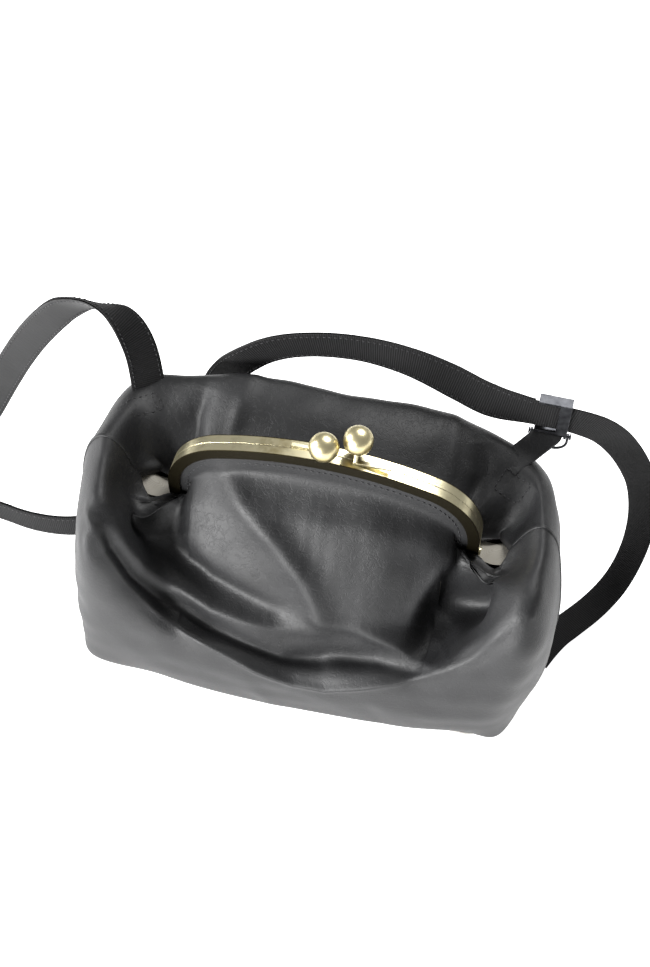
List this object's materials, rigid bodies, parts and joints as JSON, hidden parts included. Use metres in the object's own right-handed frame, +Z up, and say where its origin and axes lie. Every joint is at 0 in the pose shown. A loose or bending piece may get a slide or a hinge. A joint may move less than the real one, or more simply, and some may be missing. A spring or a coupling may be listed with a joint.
{
  "type": "kiss-lock frame bag",
  "caption": "Soft black leather bag on a flat base, closed by hinged arched brass rails with crossing balls, with a leather-backed webbing shoulder strap and adjuster.",
  "frame": {"origin": "bottom centre of the body's box, the strap left out", "axes": "+Z up, -Y the front with the front rail, X along the frame's width and the hinge line"},
  "size_m": [0.5933, 0.2062, 0.2514],
  "materials": {
    "black_leather": "smooth semi-matte full-grain, softly creased",
    "strap_leather": "semi-gloss strap backing",
    "black_webbing": "matte ribbed woven webbing",
    "cream_cotton": "matte plain-weave lining",
    "grey_board": "matte stiffener board",
    "paper_cord": "twisted paper cord",
    "black_thread": "waxed thread",
    "antique_brass": "satin antique, brushed along the rail",
    "ball_brass": "satin antique with darker rims",
    "gunmetal": "polished gunmetal plating"
  },
  "bodies": {
    "body": {"front_panel": "black_leather", "back_panel": "black_leather", "base_panel": "black_leather", "base_board": "grey_board", "lining": "cream_cotton", "left_hinge_rivet": "antique_brass", "right_hinge_rivet": "antique_brass", "strap_anchor_stitching": "black_thread", "tab_stitching": "black_thread", "buckle_tab": "black_leather", "buckle_frame": "gunmetal", "buckle_pin": "gunmetal", "strap_webbing": "black_webbing", "strap_leather": "strap_leather"},
    "front_frame": {"front_rail": "antique_brass", "front_filler_cord": "paper_cord", "front_mouth_leather": "black_leather", "front_mouth_stitching": "black_thread", "front_clasp_arm": "antique_brass", "front_clasp_ball": "ball_brass"},
    "back_frame": {"back_rail": "antique_brass", "back_filler_cord": "paper_cord", "back_mouth_leather": "black_leather", "back_mouth_stitching": "black_thread", "back_clasp_arm": "antique_brass", "back_clasp_ball": "ball_brass"},
    "bail": {"d_bail": "gunmetal"}
  },
  "joints": [
    {"name": "front_frame_open", "type": "hinge", "parent": "body", "child": "front_frame", "pos_m": [0.006, 0, 0.146], "axis": [1, 0, 0], "range_deg": [0, 45]},
    {"name": "back_frame_open", "type": "hinge", "parent": "body", "child": "back_frame", "pos_m": [0.006, 0, 0.146], "axis": [1, 0, 0], "range_deg": [-45, 0]},
    {"name": "bail_swing", "type": "hinge", "parent": "body", "child": "bail", "pos_m": [0.151, 0.08, 0.1906], "axis": [1, 0, 0], "range_deg": [-12, 70]}
  ],
  "couplings": [
    {"joint": "back_frame_open", "follows": "front_frame_open", "ratio": -1}
  ]
}
